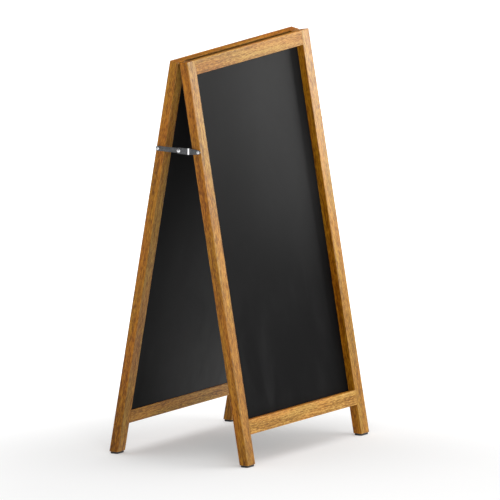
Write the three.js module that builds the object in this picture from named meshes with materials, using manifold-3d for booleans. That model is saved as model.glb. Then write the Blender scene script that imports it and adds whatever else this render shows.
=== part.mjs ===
// Folding A-frame menu chalkboard: two wooden frames with black chalkboard
// panels, hinged at the top and held open by a folding steel stay on each side.
// Units are millimetres. +Z is up, the front is -Y, the width runs along X.
// The origin is on the floor, under the centre of the object.
import * as THREE from "three";
import { mergeVertices } from "three/addons/utils/BufferGeometryUtils.js";
import Module from "manifold-3d";

// ---- driving dimensions ----------------------------------------------------
const WIDTH = 601; // over both stiles
const STILE_W = 38; // stile face width
const STOCK_T = 25; // stile thickness, front to back
const TILT = THREE.MathUtils.degToRad(10); // lean of each frame from vertical
const TOP_Z = 1047.5; // height of the inner top edges
const TOP_GAP = 3.8; // between the inner top edges of the two frames
const RAIL_H = 38; // face height of both rails
const TOP_RAIL_T = 19.9; // top rail thickness, the panel laps behind it
const BOTTOM_RAIL_TOP = 947.3; // distance down the frame to the bottom rail
const PANEL_T = 3; // chalkboard panel
const PANEL_BACK = 1.9; // panel set in from the inner face of the frame
const PANEL_TOP = 4; // distance down the frame to the panel's top edge
const PANEL_BOTTOM = 950;
const GROOVE = 6; // depth of the panel groove in the stiles
const FIT = 0.2; // clearance round pieces that are fitted together
const DOWEL_R = 4;
const DOWEL_L = 40;
const FOOT_H = 5; // rubber foot
const FOOT_INSET = 1.3;
const AXIS_DROP = 10; // hinge axis below the inner top edges
const HINGE_X = 165; // hinge centres, either side of the middle
const HINGE_L = 64;
const KNUCKLE_R = 5.2;
const PIN_R = 2.5;
const LEAF_T = 2;
const LEAF_END = 35; // lower edge of a leaf, down the frame
const LEAF_SCREW_X = 18;
const LEAF_SCREW_Z = 27;
const STAY_DOWN = 236.6; // stay screws, down the frame
const STAY_IN = 6.4; // stay screws, in from the outer face
const REAR_ARM = 64.8; // screw to rivet
const REAR_ARM_W = 13;
const FRONT_ARM_W = 16.5; // at the rivet
const FRONT_ARM_END_W = 11.5; // at its screw
const JOGGLE = 29.4; // from the rivet to the step in the front arm
const ARM_T = 1.8;
const LAYER_1 = 1.2; // inner arm layer, out from the stile's face
const LAYER_2 = LAYER_1 + ARM_T + 0.4; // outer arm layer
const RIVET_R = 2.6;

// ---- derived ----------------------------------------------------------------
const C = Math.cos(TILT);
const S = Math.sin(TILT);
const HALF = WIDTH / 2;
const OPENING = WIDTH - 2 * STILE_W;
// hinge axis in a frame's own axes, whose origin is the inner top edge
const AXIS_Y = (TOP_GAP / 2) * C + AXIS_DROP * S;
const AXIS_Z = (TOP_GAP / 2) * S - AXIS_DROP * C;
// stay screws in the part's axes
const STAY_Y = TOP_GAP / 2 + STAY_DOWN * S + (STOCK_T - STAY_IN) * C;
const STAY_Z = TOP_Z - STAY_DOWN * C + (STOCK_T - STAY_IN) * S;
const RIVET_Y = STAY_Y - REAR_ARM;
const FRONT_ARM = STAY_Y + RIVET_Y;

// ---- solids -----------------------------------------------------------------
const wasm = await Module();
wasm.setup();

function solid(geometry) {
  const g = geometry.clone();
  g.deleteAttribute("normal");
  g.deleteAttribute("uv");
  const m = mergeVertices(g, 1e-4);
  return new wasm.Manifold(
    new wasm.Mesh({
      numProp: 3,
      vertProperties: new Float32Array(m.attributes.position.array),
      triVerts: new Uint32Array(m.index.array),
    }),
  );
}

function geometryOf(manifold) {
  const m = manifold.getMesh();
  const g = new THREE.BufferGeometry();
  g.setAttribute("position", new THREE.BufferAttribute(new Float32Array(m.vertProperties), 3));
  g.setIndex(new THREE.BufferAttribute(new Uint32Array(m.triVerts), 1));
  const flat = g.toNonIndexed();
  flat.computeVertexNormals();
  return flat;
}

const cut = (base, ...tools) => tools.reduce((a, b) => a.subtract(b), base);
const join = (base, ...more) => more.reduce((a, b) => a.add(b), base);

// a box from its two corners
function box(x0, x1, y0, y1, z0, z1) {
  const g = new THREE.BoxGeometry(x1 - x0, y1 - y0, z1 - z0);
  g.translate((x0 + x1) / 2, (y0 + y1) / 2, (z0 + z1) / 2);
  return g;
}

// a cylinder along X
function rodX(r, x0, x1, y, z, n = 24) {
  const g = new THREE.CylinderGeometry(r, r, x1 - x0, n);
  g.rotateZ(Math.PI / 2);
  g.translate((x0 + x1) / 2, y, z);
  return g;
}

// a cylinder or cone along Y, r0 at y0 and r1 at y1
function coneY(r0, r1, y0, y1, x, z, n = 20) {
  const g = new THREE.CylinderGeometry(r1, r0, y1 - y0, n);
  g.translate(x, (y0 + y1) / 2, z);
  return g;
}

// an outline of (y, z) points extruded along X from x0 to x1
function slabX(points, x0, x1) {
  const shape = new THREE.Shape(points.map(([y, z]) => new THREE.Vector2(y, z)));
  const g = new THREE.ExtrudeGeometry(shape, { depth: x1 - x0, bevelEnabled: false });
  // (u, v, depth) -> (y, z, x)
  g.applyMatrix4(new THREE.Matrix4().set(0, 0, 1, x0, 1, 0, 0, 0, 0, 1, 0, 0, 0, 0, 0, 1));
  return g;
}

// a profile of (radius, height) points turned about an axis
function turned(profile, n = 20) {
  return new THREE.LatheGeometry(
    profile.map(([r, h]) => new THREE.Vector2(r, h)),
    n,
  );
}

// ---- materials ----------------------------------------------------------------
const material = (color, roughness, metalness) =>
  new THREE.MeshStandardMaterial({ color, roughness, metalness });
const OAK = material(0xb9824a, 0.5, 0);
const DOWEL_WOOD = material(0xc9a06c, 0.6, 0);
const SLATE = material(0x1c1d1e, 0.55, 0);
const HINGE_STEEL = material(0x8c8e90, 0.35, 1);
const STAY_STEEL = material(0x6c6f72, 0.4, 1);
const FASTENER = material(0xb4b6b9, 0.28, 1);
const RUBBER = material(0x0b0b0b, 0.75, 0);

const part = new THREE.Group();

function add(group, name, manifoldOrGeometry, mat) {
  const g = manifoldOrGeometry.isBufferGeometry ? manifoldOrGeometry : geometryOf(manifoldOrGeometry);
  const mesh = new THREE.Mesh(g, mat);
  mesh.name = name;
  group.add(mesh);
  return mesh;
}

// ---- one frame, in its own axes ------------------------------------------------
// Origin at the middle of the inner top edge, +Z up along the stiles,
// y = 0 on the inner face and y = -STOCK_T on the outer face.
// Level of the floor plane z = h, at depth y, along the frame.
const levelAt = (h, y) => (h - TOP_Z + y * S) / C;

// centre of the level cut under a stile, in the part's axes, for the front frame
const FOOT_Y_IN = -TOP_GAP / 2 + levelAt(FOOT_H + FIT, 0) * S;
const FOOT_Y_OUT = -TOP_GAP / 2 - STOCK_T * C + levelAt(FOOT_H + FIT, -STOCK_T) * S;
const FOOT_Y = (FOOT_Y_IN + FOOT_Y_OUT) / 2;
const FOOT_D = FOOT_Y_IN - FOOT_Y_OUT;

// turns a geometry given in the part's axes (front frame) into the frame's own axes
const toFrame = new THREE.Matrix4()
  .makeTranslation(0, -TOP_GAP / 2, TOP_Z)
  .multiply(new THREE.Matrix4().makeRotationX(-TILT))
  .invert();

function stile(side) {
  const x0 = side < 0 ? -HALF : HALF - STILE_W;
  const x1 = x0 + STILE_W;
  const inner = side < 0 ? x1 : x0;
  const body = slabX(
    [
      [-STOCK_T, 0],
      [-STOCK_T, levelAt(FOOT_H + FIT, -STOCK_T)],
      [0, levelAt(FOOT_H + FIT, 0)],
      [0, 0],
    ],
    x0,
    x1,
  );
  const groove = box(
    side < 0 ? inner - GROOVE : inner - 1,
    side < 0 ? inner + 1 : inner + GROOVE,
    -PANEL_BACK - PANEL_T - FIT,
    -PANEL_BACK + FIT,
    -PANEL_BOTTOM - 2 * FIT,
    -PANEL_TOP + 2 * FIT,
  );
  const bore = (y, z) =>
    rodX(
      DOWEL_R + FIT,
      side < 0 ? inner - DOWEL_L / 2 - FIT : inner - 1,
      side < 0 ? inner + 1 : inner + DOWEL_L / 2 + FIT,
      y,
      z,
      20,
    );
  const outer = side < 0 ? x0 : x1;
  const stayHole = rodX(
    2.2,
    side < 0 ? outer - 1 : outer - 20,
    side < 0 ? outer + 20 : outer + 1,
    -STOCK_T + STAY_IN,
    -STAY_DOWN,
    16,
  );
  const nailHole = new THREE.CylinderGeometry(1.5, 1.5, 40, 12);
  nailHole.rotateX(Math.PI / 2);
  nailHole.translate((x0 + x1) / 2, FOOT_Y, 2);
  nailHole.applyMatrix4(toFrame);
  return cut(
    solid(body),
    solid(groove),
    solid(bore(DOWEL_TOP_Y, DOWEL_TOP_Z)),
    solid(bore(DOWEL_BOTTOM_Y, DOWEL_BOTTOM_Z)),
    solid(stayHole),
    solid(nailHole),
  );
}

const DOWEL_TOP_Y = -STOCK_T + TOP_RAIL_T / 2;
const DOWEL_TOP_Z = -RAIL_H / 2;
const DOWEL_BOTTOM_Y = -14;
const DOWEL_BOTTOM_Z = -BOTTOM_RAIL_TOP - RAIL_H / 2;
const leafScrews = [-HINGE_X, HINGE_X].flatMap((hx) => [hx - LEAF_SCREW_X, hx + LEAF_SCREW_X]);

function topRail() {
  const half = OPENING / 2 - FIT / 2;
  const body = box(-half, half, -STOCK_T, -STOCK_T + TOP_RAIL_T, -RAIL_H, 0);
  return cut(
    solid(body),
    ...[-1, 1].map((s) =>
      solid(rodX(DOWEL_R + FIT, s < 0 ? -half - 1 : half - DOWEL_L / 2, s < 0 ? -half + DOWEL_L / 2 : half + 1, DOWEL_TOP_Y, DOWEL_TOP_Z, 20)),
    ),
    ...leafScrews.map((x) => solid(coneY(1.95, 1.95, -17.6, 0, x, -LEAF_SCREW_Z, 12))),
  );
}

function bottomRail() {
  const half = OPENING / 2 - FIT / 2;
  const body = box(-half, half, -STOCK_T, 0, -BOTTOM_RAIL_TOP - RAIL_H, -BOTTOM_RAIL_TOP);
  const rebate = box(-half - 1, half + 1, -PANEL_BACK - PANEL_T - FIT, 1, -PANEL_BOTTOM - FIT, -BOTTOM_RAIL_TOP + 1);
  return cut(
    solid(body),
    solid(rebate),
    ...[-1, 1].map((s) =>
      solid(rodX(DOWEL_R + FIT, s < 0 ? -half - 1 : half - DOWEL_L / 2, s < 0 ? -half + DOWEL_L / 2 : half + 1, DOWEL_BOTTOM_Y, DOWEL_BOTTOM_Z, 20)),
    ),
  );
}

function panel() {
  const half = OPENING / 2 + GROOVE - FIT;
  return cut(
    solid(box(-half, half, -PANEL_BACK - PANEL_T, -PANEL_BACK, -PANEL_BOTTOM, -PANEL_TOP)),
    ...leafScrews.map((x) => solid(coneY(2.2, 2.2, -6, 0, x, -LEAF_SCREW_Z, 12))),
  );
}

// a dowel with chamfered ends, across a rail-to-stile joint
function dowel(side, y, z) {
  const h = DOWEL_L / 2 - 0.4;
  const g = turned(
    [
      [0, -h],
      [DOWEL_R - 1, -h],
      [DOWEL_R, -h + 1],
      [DOWEL_R, h - 1],
      [DOWEL_R - 1, h],
      [0, h],
    ],
    16,
  );
  g.rotateZ(Math.PI / 2);
  g.translate(side * (HALF - STILE_W), y, z);
  return solid(g);
}

// hinge leaf: a plate on the panel's inner face, with its knuckles round the axis
function leaf(hx, outerKnuckles) {
  const y0 = -PANEL_BACK + 0.15;
  const y1 = y0 + LEAF_T;
  const plate = solid(box(hx - HINGE_L / 2, hx + HINGE_L / 2, y0, y1, -LEAF_END, AXIS_Z));
  const knuckle = (x0, x1) => solid(rodX(KNUCKLE_R, x0, x1, AXIS_Y, AXIS_Z, 20));
  const notch = (x0, x1) => solid(box(x0, x1, y0 - 1, y1 + 1, AXIS_Z - 5.6, AXIS_Z + 1));
  const k = HINGE_L / 6;
  let body;
  if (outerKnuckles)
    body = join(
      cut(plate, notch(hx - k - 0.3, hx + k + 0.3)),
      knuckle(hx - HINGE_L / 2, hx - k - 0.3),
      knuckle(hx + k + 0.3, hx + HINGE_L / 2),
    );
  else
    body = join(
      cut(plate, notch(hx - HINGE_L / 2 - 1, hx - k), notch(hx + k, hx + HINGE_L / 2 + 1)),
      knuckle(hx - k, hx + k),
    );
  const holes = [-1, 1].flatMap((s) => {
    const x = hx + s * LEAF_SCREW_X;
    return [
      solid(coneY(2, 2, y0 - 1, y1 + 1, x, -LEAF_SCREW_Z, 16)),
      solid(coneY(2, 4.1, y0 + 0.1, y1 + 0.1, x, -LEAF_SCREW_Z, 16)),
    ];
  });
  return cut(body, solid(rodX(PIN_R + 0.15, hx - HINGE_L, hx + HINGE_L, AXIS_Y, AXIS_Z, 16)), ...holes);
}

// countersunk hinge screw, head in the leaf, point in the rail
function leafScrew(x) {
  const top = -PANEL_BACK + 0.15 + LEAF_T - 0.1;
  const g = turned(
    [
      [0, -16.6],
      [1.6, -13.5],
      [1.6, top - 1.9],
      [3.5, top - 0.25],
      [3.5, top],
      [0, top],
    ],
    16,
  );
  g.translate(x, 0, -LEAF_SCREW_Z);
  return solid(g);
}

// Rubber foot, level on the floor. Given in the part's axes for the front frame.
function foot(side) {
  const hx = STILE_W / 2 - FOOT_INSET;
  const hy = FOOT_D / 2 - FOOT_INSET;
  const r = 5;
  const b = 1.2;
  const s = new THREE.Shape();
  const x = hx - b;
  const y = hy - b;
  s.moveTo(-x + r, -y);
  s.lineTo(x - r, -y);
  s.absarc(x - r, -y + r, r, -Math.PI / 2, 0, false);
  s.lineTo(x, y - r);
  s.absarc(x - r, y - r, r, 0, Math.PI / 2, false);
  s.lineTo(-x + r, y);
  s.absarc(-x + r, y - r, r, Math.PI / 2, Math.PI, false);
  s.lineTo(-x, -y + r);
  s.absarc(-x + r, -y + r, r, Math.PI, 1.5 * Math.PI, false);
  const g = new THREE.ExtrudeGeometry(s, {
    depth: FOOT_H - 2 * b,
    bevelEnabled: true,
    bevelThickness: b,
    bevelSize: b,
    bevelSegments: 1,
    curveSegments: 3,
  });
  g.translate(side * (HALF - STILE_W / 2), FOOT_Y, b);
  const hole = new THREE.CylinderGeometry(1.6, 1.6, 12, 12);
  hole.rotateX(Math.PI / 2);
  hole.translate(side * (HALF - STILE_W / 2), FOOT_Y, 4);
  const recess = new THREE.CylinderGeometry(4.4, 4.4, 4, 16);
  recess.rotateX(Math.PI / 2);
  recess.translate(side * (HALF - STILE_W / 2), FOOT_Y, 0.2);
  return cut(solid(g), solid(hole), solid(recess));
}

function footNail(side) {
  const g = turned(
    [
      [0, 0.7],
      [4, 0.7],
      [4, 1.6],
      [1.3, 2],
      [1.3, 18],
      [0, 21],
    ],
    16,
  );
  g.rotateX(Math.PI / 2);
  g.translate(side * (HALF - STILE_W / 2), FOOT_Y, 0);
  return solid(g);
}

// One half of the easel. The back half is the front half turned half round
// about Z, so its left side is on the other side of its own X axis.
function half(prefix, turn) {
  const outer = new THREE.Group();
  if (turn) outer.rotation.z = Math.PI;
  const frame = new THREE.Group();
  frame.position.set(0, -TOP_GAP / 2, TOP_Z);
  frame.rotation.x = -TILT;
  outer.add(frame);
  part.add(outer);
  const sides = turn ? { left: 1, right: -1 } : { left: -1, right: 1 };
  for (const [name, s] of Object.entries(sides)) {
    add(frame, `${prefix}_stile_${name}`, stile(s), OAK);
    add(frame, `${prefix}_dowel_top_${name}`, dowel(s, DOWEL_TOP_Y, DOWEL_TOP_Z), DOWEL_WOOD);
    add(frame, `${prefix}_dowel_bottom_${name}`, dowel(s, DOWEL_BOTTOM_Y, DOWEL_BOTTOM_Z), DOWEL_WOOD);
    add(outer, `${prefix}_foot_${name}`, foot(s), RUBBER);
    add(outer, `${prefix}_foot_nail_${name}`, footNail(s), FASTENER);
    add(frame, `hinge_${name}_${prefix}_leaf`, leaf(s * HINGE_X, !turn), HINGE_STEEL);
    add(frame, `hinge_${name}_${prefix}_screw_a`, leafScrew(s * HINGE_X - LEAF_SCREW_X), FASTENER);
    add(frame, `hinge_${name}_${prefix}_screw_b`, leafScrew(s * HINGE_X + LEAF_SCREW_X), FASTENER);
    if (!turn) {
      const e = HINGE_L / 2 + 0.3;
      const pin = turned(
        [
          [0, -e - 1.8],
          [2.2, -e - 1.6],
          [3.3, -e - 0.9],
          [3.3, -e],
          [PIN_R, -e],
          [PIN_R, e],
          [3.3, e],
          [3.3, e + 0.9],
          [2.2, e + 1.6],
          [0, e + 1.8],
        ],
        16,
      );
      pin.rotateZ(Math.PI / 2);
      pin.translate(s * HINGE_X, AXIS_Y, AXIS_Z);
      add(frame, `hinge_${name}_pin`, solid(pin), HINGE_STEEL);
    }
  }
  add(frame, `${prefix}_top_rail`, topRail(), OAK);
  add(frame, `${prefix}_bottom_rail`, bottomRail(), OAK);
  add(frame, `${prefix}_chalkboard`, panel(), SLATE);
}
half("front", false);
half("back", true);

// ---- folding stays --------------------------------------------------------------
function arc(cy, cz, r, a0, a1, n) {
  const out = [];
  for (let i = 0; i <= n; i++) {
    const a = a0 + ((a1 - a0) * i) / n;
    out.push([cy + r * Math.cos(a), cz + r * Math.sin(a)]);
  }
  return out;
}

// span of a layer along X on one side, given as distances out from the stile
function layer(side, d0, d1) {
  const a = side * (HALF + d0);
  const b = side * (HALF + d1);
  return [Math.min(a, b), Math.max(a, b)];
}

// a turned piece whose axis is X: profile heights are distances out from the stile
function turnedOut(side, profile, y, z, n = 20) {
  const g = turned(profile, n);
  g.rotateZ(side < 0 ? Math.PI / 2 : -Math.PI / 2);
  g.translate(side * HALF, y, z);
  return solid(g);
}

function stay(name, side) {
  const group = new THREE.Group();
  part.add(group);
  const P = Math.PI;
  const hole = (r, y) => solid(rodX(r, ...layer(side, -1, 12), y, STAY_Z, 16));

  // rear arm: flat bar in the inner layer, a round end at its screw and at the rivet
  const rw = REAR_ARM_W / 2;
  const rearOutline = [
    ...arc(STAY_Y, STAY_Z, rw, -P / 2, P / 2, 10),
    ...arc(RIVET_Y, STAY_Z, rw, P / 2, 1.5 * P, 10),
  ];
  const rear = cut(
    solid(slabX(rearOutline, ...layer(side, LAYER_1, LAYER_1 + ARM_T))),
    hole(2.3, STAY_Y),
    hole(RIVET_R + 0.2, RIVET_Y),
  );
  add(group, `stay_${name}_rear_arm`, rear, STAY_STEEL);

  // front arm: wide over the rivet in the outer layer, stepped in to the stile and
  // tapered to a round end at its screw
  const fw = FRONT_ARM_W / 2;
  const ew = FRONT_ARM_END_W / 2;
  const stepY = RIVET_Y - JOGGLE;
  const bulge = 1.6;
  const bow = (y) => [
    [y, STAY_Z + fw],
    [y - bulge * 0.75, STAY_Z + fw / 2],
    [y - bulge, STAY_Z],
    [y - bulge * 0.75, STAY_Z - fw / 2],
    [y, STAY_Z - fw],
  ];
  const overRivet = [...arc(RIVET_Y, STAY_Z, fw, -P / 2, P / 2, 12), ...bow(stepY)];
  const block = [
    [stepY + 2.6, STAY_Z - fw],
    [stepY + 2.6, STAY_Z + fw],
    ...bow(stepY),
  ];
  const toScrew = [
    [stepY + 2.6, STAY_Z - fw],
    [stepY + 2.6, STAY_Z + fw],
    [stepY, STAY_Z + fw],
    ...arc(-STAY_Y, STAY_Z, ew, P / 2 + 0.12, 1.5 * P - 0.12, 10),
    [stepY, STAY_Z - fw],
  ];
  const front = cut(
    join(
      solid(slabX(overRivet, ...layer(side, LAYER_2, LAYER_2 + ARM_T))),
      solid(slabX(block, ...layer(side, LAYER_1 + 0.4, LAYER_2 + ARM_T / 2))),
      solid(slabX(toScrew, ...layer(side, LAYER_1, LAYER_1 + ARM_T))),
    ),
    hole(RIVET_R + 0.2, RIVET_Y),
    hole(2.3, -STAY_Y),
  );
  add(group, `stay_${name}_front_arm`, front, STAY_STEEL);

  // the rivet, parted at the shear plane between the two arms
  const shear = LAYER_2 - 0.2;
  const top = LAYER_2 + ARM_T + 0.1;
  const head = turnedOut(
    side,
    [
      [0, shear + 0.1],
      [RIVET_R, shear + 0.1],
      [RIVET_R, top],
      [5.2, top],
      [5, top + 0.7],
      [4, top + 1.5],
      [2.2, top + 2.05],
      [0, top + 2.2],
    ],
    RIVET_Y,
    STAY_Z,
    20,
  );
  add(group, `stay_${name}_rivet_head`, head, FASTENER);
  const tail = turnedOut(
    side,
    [
      [0, 0.4],
      [4.2, 0.4],
      [4.6, 0.7],
      [4.6, 1.1],
      [RIVET_R, 1.1],
      [RIVET_R, shear - 0.1],
      [0, shear - 0.1],
    ],
    RIVET_Y,
    STAY_Z,
    16,
  );
  add(group, `stay_${name}_rivet_tail`, tail, FASTENER);

  // a washer and a pan-head screw at each end
  for (const [where, y] of [
    ["rear", STAY_Y],
    ["front", -STAY_Y],
  ]) {
    const washer = cut(
      solid(rodX(5.5, ...layer(side, 0.2, 1), y, STAY_Z, 20)),
      hole(2.3, y),
    );
    add(group, `stay_${name}_${where}_washer`, washer, FASTENER);
    const under = LAYER_1 + ARM_T + 0.2;
    const screw = turnedOut(
      side,
      [
        [0, -18.5],
        [1.95, -15],
        [1.95, under],
        [4.4, under],
        [4.4, under + 1],
        [3.7, under + 1.9],
        [2, under + 2.4],
        [0, under + 2.5],
      ],
      y,
      STAY_Z,
      16,
    );
    add(group, `stay_${name}_${where}_screw`, screw, FASTENER);
  }
}
stay("left", -1);
stay("right", 1);

export default part;
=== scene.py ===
import math

import bmesh
import bpy
import numpy as np
from mathutils import Matrix, Vector


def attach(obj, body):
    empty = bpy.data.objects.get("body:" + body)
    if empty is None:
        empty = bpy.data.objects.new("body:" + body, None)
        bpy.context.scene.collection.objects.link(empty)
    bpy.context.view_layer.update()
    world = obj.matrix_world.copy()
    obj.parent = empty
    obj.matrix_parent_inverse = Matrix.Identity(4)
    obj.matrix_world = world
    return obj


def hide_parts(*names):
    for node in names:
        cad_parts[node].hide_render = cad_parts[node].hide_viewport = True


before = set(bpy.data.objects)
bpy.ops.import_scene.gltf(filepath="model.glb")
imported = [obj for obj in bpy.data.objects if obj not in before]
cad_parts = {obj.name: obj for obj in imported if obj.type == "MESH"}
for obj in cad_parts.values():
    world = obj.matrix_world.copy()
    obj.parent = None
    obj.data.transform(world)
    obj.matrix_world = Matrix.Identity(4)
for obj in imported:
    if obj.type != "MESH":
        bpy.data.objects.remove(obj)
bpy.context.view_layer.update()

TILT = math.radians(10)
MM = 0.001
COLLECTION = bpy.context.scene.collection


# ---- camera -------------------------------------------------------------------
AZIMUTH, ELEVATION = math.radians(-58.36), math.radians(10.02)
SPAN = 1.2968  # width of the orthographic view
RIGHT = Vector((math.cos(AZIMUTH), math.sin(AZIMUTH), 0))
BACK = Vector(
    (
        math.sin(AZIMUTH) * math.cos(ELEVATION),
        -math.cos(AZIMUTH) * math.cos(ELEVATION),
        math.sin(ELEVATION),
    )
)
UP = BACK.cross(RIGHT)

camera_data = bpy.data.cameras.new("camera")
camera_data.type = "ORTHO"
camera_data.ortho_scale = SPAN
camera_data.clip_start, camera_data.clip_end = 0.1, 60
camera = bpy.data.objects.new("camera", camera_data)
COLLECTION.objects.link(camera)
camera.location = RIGHT * 0.02779 + UP * 0.50217 + BACK * 5
camera.rotation_mode = "QUATERNION"
camera.rotation_quaternion = (-BACK).to_track_quat("-Z", "Y")
bpy.context.scene.camera = camera


# ---- reading the CAD --------------------------------------------------------------
def points(node):
    """Every vertex of a CAD node, in the row frame."""
    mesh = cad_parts[node].data
    co = np.zeros(len(mesh.vertices) * 3, np.float32)
    mesh.vertices.foreach_get("co", co)
    return co.reshape(-1, 3).astype(float)


def local(node, matrix):
    """Every vertex of a CAD node in the axes of matrix."""
    inverse = np.array(matrix.inverted())
    return points(node) @ inverse[:3, :3].T + inverse[:3, 3]


def half_matrix(prefix):
    """A frame's own axes: origin in the middle of its inner top edge, z up along the stiles, y = 0 on the inner face, -y outwards."""
    turn = Matrix.Rotation(math.pi if prefix == "back" else 0, 4, "Z")
    rotation = turn @ Matrix.Rotation(-TILT, 4, "X")
    p = np.vstack([local(f"{prefix}_stile_{s}", rotation) for s in ("left", "right")])
    return rotation @ Matrix.Translation((0, p[:, 1].max(), p[:, 2].max()))


HALVES = {prefix: half_matrix(prefix) for prefix in ("front", "back")}


# ---- mesh tools -------------------------------------------------------------------
def prism(section, x0, x1):
    """A closed prism of a counter-clockwise (y, z) section, from x0 to x1."""
    bm = bmesh.new()
    a = [bm.verts.new((x0, y, z)) for y, z in section]
    b = [bm.verts.new((x1, y, z)) for y, z in section]
    bm.faces.new(list(reversed(a)))
    bm.faces.new(b)
    n = len(section)
    for i in range(n):
        j = (i + 1) % n
        bm.faces.new((a[i], a[j], b[j], b[i]))
    bmesh.ops.recalc_face_normals(bm, faces=bm.faces)
    return bm


def block(x0, x1, y0, y1, z0, z1):
    return prism([(y0, z0), (y1, z0), (y1, z1), (y0, z1)], x0, x1)


def round_edges(bm, radius, segments=3, pick=None):
    edges = [e for e in bm.edges if pick is None or pick(e)]
    bmesh.ops.bevel(
        bm,
        geom=edges,
        offset=radius,
        offset_type="OFFSET",
        segments=segments,
        profile=0.5,
        affect="EDGES",
        clamp_overlap=True,
    )
    return bm


def lathe(profile, n=48):
    """A closed turned solid: (radius, height) points from axis to axis, about +Z."""
    bm = bmesh.new()
    rings = []
    for r, h in profile:
        if r < 1e-9:
            rings.append([bm.verts.new((0, 0, h))])
        else:
            rings.append(
                [
                    bm.verts.new(
                        (
                            r * math.cos(2 * math.pi * i / n),
                            r * math.sin(2 * math.pi * i / n),
                            h,
                        )
                    )
                    for i in range(n)
                ]
            )
    for lower, upper in zip(rings, rings[1:]):
        for i in range(n):
            j = (i + 1) % n
            if len(lower) == 1:
                bm.faces.new((lower[0], upper[j], upper[i]))
            elif len(upper) == 1:
                bm.faces.new((lower[i], lower[j], upper[0]))
            else:
                bm.faces.new((lower[i], lower[j], upper[j], upper[i]))
    bmesh.ops.recalc_face_normals(bm, faces=bm.faces)
    return bm


def ring(r_in, r_out, h0, h1, soft=0.0, n=48):
    """A closed washer or sleeve about +Z, its outer rims softened."""
    s = soft
    profile = [
        (r_in, h0),
        (r_out - s, h0),
        (r_out, h0 + s),
        (r_out, h1 - s),
        (r_out - s, h1),
        (r_in, h1),
    ]
    bm = bmesh.new()
    loops = [
        [
            bm.verts.new(
                (
                    r * math.cos(2 * math.pi * i / n),
                    r * math.sin(2 * math.pi * i / n),
                    h,
                )
            )
            for i in range(n)
        ]
        for r, h in profile
    ]
    for k in range(len(loops)):
        lower, upper = loops[k], loops[(k + 1) % len(loops)]
        for i in range(n):
            j = (i + 1) % n
            bm.faces.new((lower[i], lower[j], upper[j], upper[i]))
    bmesh.ops.recalc_face_normals(bm, faces=bm.faces)
    return bm


def rod(radius, start, end, n=32):
    """A plain closed cylinder between two points, for drilling holes with."""
    start, end = Vector(start), Vector(end)
    bm = lathe([(0, 0), (radius, 0), (radius, (end - start).length), (0, (end - start).length)], n)
    turn = (end - start).to_track_quat("Z", "Y").to_matrix().to_4x4()
    bmesh.ops.transform(bm, matrix=Matrix.Translation(start) @ turn, verts=bm.verts)
    return bm


def moved(bm, matrix):
    bmesh.ops.transform(bm, matrix=matrix, verts=bm.verts)
    return bm


def merged(*parts):
    """Several closed solids in one mesh."""
    whole = bmesh.new()
    for part in parts:
        mesh = bpy.data.meshes.new("part")
        part.to_mesh(mesh)
        part.free()
        whole.from_mesh(mesh)
        bpy.data.meshes.remove(mesh)
    return whole


def object_of(bm, name="scratch"):
    mesh = bpy.data.meshes.new(name)
    bm.to_mesh(mesh)
    bm.free()
    obj = bpy.data.objects.new(name, mesh)
    COLLECTION.objects.link(obj)
    return obj


def boolean(bm, tool, operation="DIFFERENCE"):
    """bm with tool taken away from it, or joined to it."""
    a, b = object_of(bm, "base"), object_of(tool, "tool")
    modifier = a.modifiers.new("cut", "BOOLEAN")
    modifier.operation = operation
    modifier.solver = "EXACT"
    modifier.object = b
    bpy.context.view_layer.update()
    result = bpy.data.meshes.new_from_object(
        a.evaluated_get(bpy.context.evaluated_depsgraph_get())
    )
    out = bmesh.new()
    out.from_mesh(result)
    for obj in (a, b):
        mesh = obj.data
        bpy.data.objects.remove(obj)
        bpy.data.meshes.remove(mesh)
    bpy.data.meshes.remove(result)
    bmesh.ops.remove_doubles(out, verts=out.verts, dist=1e-7)
    return out


PIECES = []


def piece(name, bm, material, body, nodes, matrix=None, seed=0, soft=32, along="Z"):
    """Turns a mesh, made in the axes of matrix, into a piece. It keeps each point's place along the piece's own grain, and marks softened edges, for the material."""
    matrix = matrix or Matrix.Identity(4)
    obj = object_of(bm, name)
    mesh = obj.data
    count = len(mesh.vertices)
    co = np.zeros(count * 3, np.float32)
    mesh.vertices.foreach_get("co", co)
    co = co.reshape(-1, 3).astype(float)
    order = {"Z": (0, 1, 2), "X": (2, 1, 0), "Y": (0, 2, 1)}[along]
    grain = co[:, order]
    rng = np.random.default_rng(seed + 11)
    grain = grain + rng.uniform(-1, 1, 3) * np.array([0.35, 0.35, 3.0])
    mesh.attributes.new("grain", "FLOAT_VECTOR", "POINT").data.foreach_set(
        "vector", grain.astype(np.float32).ravel()
    )
    place = (co - co.min(axis=0)) / np.maximum(co.max(axis=0) - co.min(axis=0), 1e-6)
    mesh.attributes.new("place", "FLOAT_VECTOR", "POINT").data.foreach_set(
        "vector", place.astype(np.float32).ravel()
    )
    normals = np.zeros(len(mesh.polygons) * 3, np.float32)
    mesh.polygons.foreach_get("normal", normals)
    normals = np.abs(normals.reshape(-1, 3))
    edge = (normals.max(axis=1) < 0.975).astype(np.float32)
    mesh.attributes.new("edge", "FLOAT", "FACE").data.foreach_set("value", edge)
    for facing, axis in (("flank", 0), ("crown", 2)):
        facing_layer = mesh.attributes.new(facing, "FLOAT", "FACE")
        facing_layer.data.foreach_set("value", normals[:, axis].astype(np.float32))
    if matrix != Matrix.Identity(4):
        mesh.transform(matrix)
    mesh.polygons.foreach_set("use_smooth", [True] * len(mesh.polygons))
    mesh.set_sharp_from_angle(angle=math.radians(soft))
    mesh.update()
    weighted = obj.modifiers.new("weighted", "WEIGHTED_NORMAL")
    weighted.mode = "FACE_AREA"
    weighted.weight = 60
    weighted.keep_sharp = True
    mesh.materials.append(material)
    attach(obj, body)
    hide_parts(*nodes)
    PIECES.append(obj)
    return obj


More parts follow.
